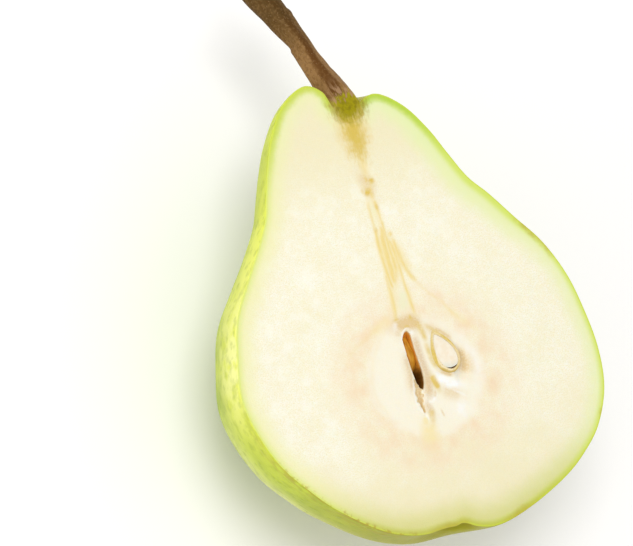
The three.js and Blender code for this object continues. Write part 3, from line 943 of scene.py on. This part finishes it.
shader, place = material(stem, "brown_bark", Roughness=0.7, Specular_IOR_Level=0.15)
grain_place = place.attribute("bark", out=1)
left, _, along = grain_place.axes()
lengthwise = grain_place.stretched(1, 1, 0.12).noise(1.6, 5, 0.6)
mottle = grain_place.stretched(1, 1, 0.5).noise(0.8, 4)
speckle = grain_place.stretched(1, 1, 0.6).noise(3.2, 2)
frays = grain_place.stretched(1, 1, 0.12).noise(3.2, 3)
flatter = grain_place.stretched(1, 1, 0.7)
pores = flatter.node("TexVoronoi", {}, flatter, Scale=2.6, Randomness=1.0)
offset = left + (lengthwise - 0.5) * 0.9 + (mottle - 0.5) * 0.5 - along.smooth(18, 12) * 0.43
shaded_band = offset.smooth(0.65, 0.25) * offset.smooth(-0.8, -0.45)
wood = layered(
    (mottle * 0.4 + lengthwise * 0.35 + speckle * 0.25).smooth(0.36, 0.62).tint(BARK, BARK_LIGHT),
    # Painted light: the left side lighter, as lit from the left.
    (left.smooth(0.2, 1.2) * along.smooth(22, 10) * 0.6, BARK_LIGHT),
    # Painted shade: a dark band along the upper side, a little to the right, and a right edge of painted
    # reflected light.
    (shaded_band * (speckle.smooth(0.3, 0.6) * 0.2 + 0.75), BARK_DARK),
    (offset.smooth(-0.7, -1.0) * along.smooth(20, 12) * 0.6, BARK_LIGHT),
    ((along + mottle * 8).smooth(17, 30) * 0.8, BARK_SHADE),
    (speckle.smooth(0.5, 0.64) * 0.22, BARK_LIGHT),
    (speckle.smooth(0.48, 0.36) * 0.3, BARK_DARK),
    (pores.smooth(0.2, 0.08) * 0.4, BARK_FRAYED),
    # The frayed and stained root, and the scar at the free end.
    (frays.smooth(0.46, 0.6) * (along + mottle * 3).smooth(11, 6) * 0.7, BARK_FRAYED),
    ((along + frays * 6 - 3.0).smooth(5.6, 4.2), rooted(STAIN, from_core_top(place))),
    (along.smooth(stem_length - 2.5, stem_length - 0.6) * 0.8, BARK_SCAR),
)
wood.into(shader, "Base Color")
(lengthwise * 0.45 + mottle * 0.25 + speckle * 0.15 + pores.smooth(0.3, 0.1) * 0.15).bump(shader, 0.35 * MM)
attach(stem, "root")
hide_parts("stem")

# ---------------------------------------------------------------- calyx
# The dried end of the flower in the basin at the blossom end: five shrivelled sepals that curl out round a
# short tube, with the remains of the stamens inside.

CALYX_AT = Vector((0, 3.4 - REST_STATION, CUT / MM - KNIFE_CROSSING * sin(KNIFE_TILT)))  # in millimetres
SEPALS = 5
SEPAL_LENGTH = 2.7
SEPAL_WIDTH = 1.9
SEPAL_THICKNESS = 0.22
SEPAL_LIFT = 1.8
CALYX_RADIUS = 1.4
CALYX_TUBE = 1.6
STAMENS = 11

bm = bmesh.new()
for k in range(SEPALS):
    grown = bmesh.ops.create_grid(bm, x_segments=18, y_segments=10, size=0.5)["verts"]
    for v in grown:
        out, aside = v.co.x + 0.5, 2 * v.co.y
        half_width = SEPAL_WIDTH / 2 * (1 - out**1.8) + 0.06
        curl = 0.9 * out**3 * sin(1.3 * k + 1)
        wrinkle = 0.1 * noise.noise(Vector((out * 3, aside * 1.5, 4 * k)))
        cupped = 0.3 * aside * aside * (1 - out)
        v.co = (
            0.9 + out * (SEPAL_LENGTH - 0.7) + 0.3 * curl,
            -SEPAL_LIFT * out**0.8 + cupped + wrinkle - 0.25 * curl,
            aside * half_width,
        )
    turn = Matrix.Rotation(pi / 2 + k * 2 * pi / SEPALS, 4, "Y")
    bmesh.ops.transform(bm, matrix=turn, verts=grown)
bmesh.ops.solidify(bm, geom=[*bm.verts, *bm.edges, *bm.faces], thickness=SEPAL_THICKNESS)

ring = bmesh.ops.create_circle(bm, segments=40, radius=CALYX_RADIUS)["verts"]
bmesh.ops.rotate(bm, verts=ring, matrix=Matrix.Rotation(pi / 2, 3, "X"))
edges = edges_at(ring)
for radius, y in ((1.0, -0.35), (0.8, -0.2), (0.78, 0.3), (0.5, 0.5)):
    fresh, edges = next_ring(bm, edges)
    for v in fresh:
        flat = Vector((v.co.x, 0, v.co.z)).normalized()
        v.co = flat * radius * CALYX_RADIUS + Vector((0, y, 0))
bmesh.ops.holes_fill(bm, edges=edges, sides=0)
outside = [e for v in ring for e in v.link_edges if e.is_boundary]
for v in next_ring(bm, list(set(outside)))[0]:
    v.co.y += CALYX_TUBE
bmesh.ops.holes_fill(bm, edges=[e for e in bm.edges if e.is_boundary], sides=0)

for k in range(STAMENS):
    turn = 2 * pi * k / STAMENS
    lean = 0.35 + 0.3 * sin(2.7 * k)
    reach = 1.5 + 0.5 * sin(4.1 * k)
    stalk = bmesh.ops.create_circle(bm, segments=8, radius=0.1, cap_ends=True)["verts"]
    edges = edges_at(stalk)
    bottom = Vector((0.72 * cos(turn), 0.3, 0.72 * sin(turn)))
    for v in stalk:
        v.co = bottom + Vector((v.co.x, 0, v.co.y))
    for n in range(1, 7):
        share = n / 6
        fresh, edges = next_ring(bm, edges)
        middle = sum((v.co for v in fresh), Vector()) / len(fresh)
        inwards = -lean * share
        goal = bottom + Vector((inwards * cos(turn + 0.8 * share), -reach * share, inwards * sin(turn)))
        swell = 1.7 if n == 5 else 0.9
        for v in fresh:
            v.co = goal + (v.co - middle) * swell
    bmesh.ops.holes_fill(bm, edges=edges, sides=0)
bmesh.ops.transform(bm, matrix=Matrix.Scale(MM, 4) @ Matrix.Translation(CALYX_AT), verts=bm.verts)
calyx = object_from(bm, "calyx_sepals")

CALYX_BROWN = color(70, 50, 30)
CALYX_TAN = color(124, 98, 60)
CALYX_DARK = color(44, 32, 22)

shader, place = material(calyx, "dried_calyx", Roughness=0.8, Specular_IOR_Level=0.25)
mm = place.moved((0, 0, 0))
dry = mm.noise(1.6, 4).smooth(0.35, 0.65).tint(CALYX_BROWN, CALYX_TAN)
dry = (mm.noise(5, 3).smooth(0.55, 0.7) * 0.5).tint(dry, CALYX_DARK)
dry.into(shader, "Base Color")
mm.noise(4, 4).bump(shader, 0.2 * MM)
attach(calyx, "root")
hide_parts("calyx")

# ---------------------------------------------------------------- whole seed
# A ripe seed on edge under the slit, with a glossy brown skin and faint lines along it; painted shade darkens
# its round end.

WHOLE_SEED = {"length": 8.2, "width": 4.4, "thickness": 2.9, "at": (-0.6, -3.7, -2.5), "turn": radians(-6)}
SEED_SIDES = 64


def spun_seed(bm, profile, seed, squash, angle=2 * pi, marked_first=None):
    """Spins a profile round the seed's long axis, flattens it and lays it where the seed lies.

    The attribute and the count in marked_first set that attribute to 1 on the profile's first points.
    """
    line = [bm.verts.new((r, h, 0)) for r, h in profile]
    if marked_first:
        for v in line[: marked_first[1]]:
            v[marked_first[0]] = 1
    edges = [bm.edges.new(pair) for pair in zip(line, line[1:])]
    faces = [bm.faces.new(line)] if angle < 2 * pi else []
    spin(bm, [*line, *edges, *faces], SEED_SIDES, angle)
    bmesh.ops.dissolve_degenerate(bm, dist=1e-4, edges=bm.edges)
    turned = Matrix.Rotation(seed["turn"], 4, "Z") @ Matrix.Diagonal((*squash, 1))
    lay = Matrix.Translation(Vector(seed["at"]) + CORE_AT) @ turned
    bmesh.ops.transform(bm, matrix=Matrix.Scale(MM, 4) @ lay, verts=bm.verts)


bm = bmesh.new()
spun_seed(bm, seed_profile(WHOLE_SEED), WHOLE_SEED, (WHOLE_SEED["thickness"] / WHOLE_SEED["width"], 1, 1))
whole = object_from(bm, "seed_whole_skin")

SEED_BROWN = color(188, 122, 14)
SEED_AMBER = color(214, 154, 44)
SEED_SHADED_END = color(136, 80, 18)

shader, place = material(whole, "seed_brown", Roughness=0.5, Specular_IOR_Level=0.25)
mm = from_core_top(place)
lengthwise = mm.stretched(1.4, 0.25, 1.4).noise(1.8, 3)
shell = lengthwise.smooth(0.35, 0.62).tint(SEED_BROWN, SEED_AMBER)
# Painted shade at the round end, where the seed sinks into the hollow below the slit.
shell = (mm.axes()[1].smooth(-5.5, -8) * 0.7).tint(shell, SEED_SHADED_END)
shell.into(shader, "Base Color")
lengthwise.bump(shader, 0.08 * MM)
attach(whole, "root")
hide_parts("seed_whole")

# ---------------------------------------------------------------- sliced seed: coat and kernel
# The other seed was cut along its broad side. Its tough coat shows as an ochre rim round the pale kernel,
# which has shrunk a little from the coat at the round end.

LINING = {"length": 7.05, "width": 3.8, "at": (5.95, -5.06, 0), "turn": radians(18.7)}  # the coat's inside
PROUD = 0.015  # how far the cut seed stands out of the cut face
HALF_DEPTH = SLICED_SEED["thickness"] / 2 - SLICED_SEED["at"][2]  # from the knife's plane to the seed's back
FLUSH = {**SLICED_SEED, "at": (*SLICED_SEED["at"][:2], PROUD)}

bm = bmesh.new()
husk_side = bm.verts.layers.float.new("husk")
outside = seed_profile(SLICED_SEED)
lining = seed_profile(LINING)
flat_back = (1, 1, HALF_DEPTH / (SLICED_SEED["width"] / 2))
spun_seed(bm, [*outside, *lining[::-1]], FLUSH, flat_back, angle=pi, marked_first=(husk_side, len(outside)))
leave = Matrix.Translation((Vector((*SLICED_SEED["at"][:2], 0)) + CORE_AT) * MM)
arrive = Matrix.Translation((Vector(LINING["at"]) + CORE_AT) * MM)
lean = Matrix.Rotation(LINING["turn"] - SLICED_SEED["turn"], 4, "Z")
inner = [v for v in bm.verts if v[husk_side] < 0.5]
bmesh.ops.transform(bm, matrix=arrive @ lean @ leave.inverted(), verts=inner)
coat = object_from(bm, "seed_coat_shell")

COAT_OCHRE = color(224, 194, 84)
COAT_GOLD = color(234, 206, 120)
COAT_CREAM = color(252, 236, 196)
COAT_TIP = color(244, 226, 180)
COAT_END = color(196, 162, 84)
COAT_SIDE = color(240, 218, 172)
COAT_FLECK = color(206, 172, 100)
COAT_GAP_SHADE = color(126, 84, 34)

shader, place = material(coat, "seed_coat_ochre", Roughness=0.45, Specular_IOR_Level=0.4)
mm = from_core_top(place)
x, y, z = mm.axes()
outer = mm.attribute("husk")
husk = layered(
    mm.noise(1.6, 4).smooth(0.35, 0.65).tint(COAT_OCHRE, COAT_GOLD),
    (outer.smooth(0.85, 0.25) * ((x + y * 0.5).smooth(3.4, 1.6) * 0.5 + 0.4), COAT_CREAM),
    ((y - x * 0.6).smooth(-7.2, -4.6) * 0.45, COAT_TIP),
    (y.smooth(-7.0, -8.6) * outer.smooth(0.3, 0.9) * 0.8, COAT_END),
    ((x + y * 0.6).smooth(1.8, 4.4) * y.smooth(-3.4, -5.4) * 0.7, COAT_SIDE),
    (mm.noise(3.2, 3).smooth(0.5, 0.68) * 0.5, COAT_FLECK),
    # Below the cut face the coat is its brown inside, deepened as painted shade in the gap at the kernel's end.
    (z.smooth(-0.04, -0.35) * 0.95, COAT_GAP_SHADE),
)
husk.into(shader, "Base Color")
mm.noise(4, 3).bump(shader, 0.06 * MM)
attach(coat, "root")
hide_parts("seed_coat")

# The kernel fills its coat, except where it has shrunk from the round end.
KERNEL_SHARE = (0.985, 0.99)  # of the lining's width and length
KERNEL_FLATNESS = 0.55
KERNEL_END = (6.45, -8.15)  # the middle of its round end
KERNEL_END_CURVE = 0.22

bm = bmesh.new()
spun_seed(bm, lining * KERNEL_SHARE, LINING, (1, 1, KERNEL_FLATNESS), angle=pi)
for v in bm.verts:
    from_end = v.co.x / MM - KERNEL_END[0]
    v.co.y = max(v.co.y, (CORE_AT.y + KERNEL_END[1] + KERNEL_END_CURVE * from_end * from_end) * MM)
kernel = object_from(bm, "seed_kernel_halves")

KERNEL_WHITE = color(253, 243, 222)
KERNEL_CREAM = color(250, 236, 210)
KERNEL_GREY = color(228, 229, 214)

shader, place = material(
    kernel, "seed_kernel_white", Roughness=0.4,
    Subsurface_Weight=0.3, Subsurface_Radius=(1.0, 0.9, 0.7), Subsurface_Scale=0.5 * MM,
)
mm = from_core_top(place)
meat = mm.noise(0.9, 3).smooth(0.35, 0.65).tint(KERNEL_WHITE, KERNEL_CREAM)
meat = ((mm.axes()[1] + mm.noise(0.8) * 1.5).smooth(-6.0, -7.6) * 0.8).tint(meat, KERNEL_GREY)
meat.into(shader, "Base Color")
mm.noise(3, 3).bump(shader, 0.04 * MM)
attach(kernel, "root")
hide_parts("seed_kernel")
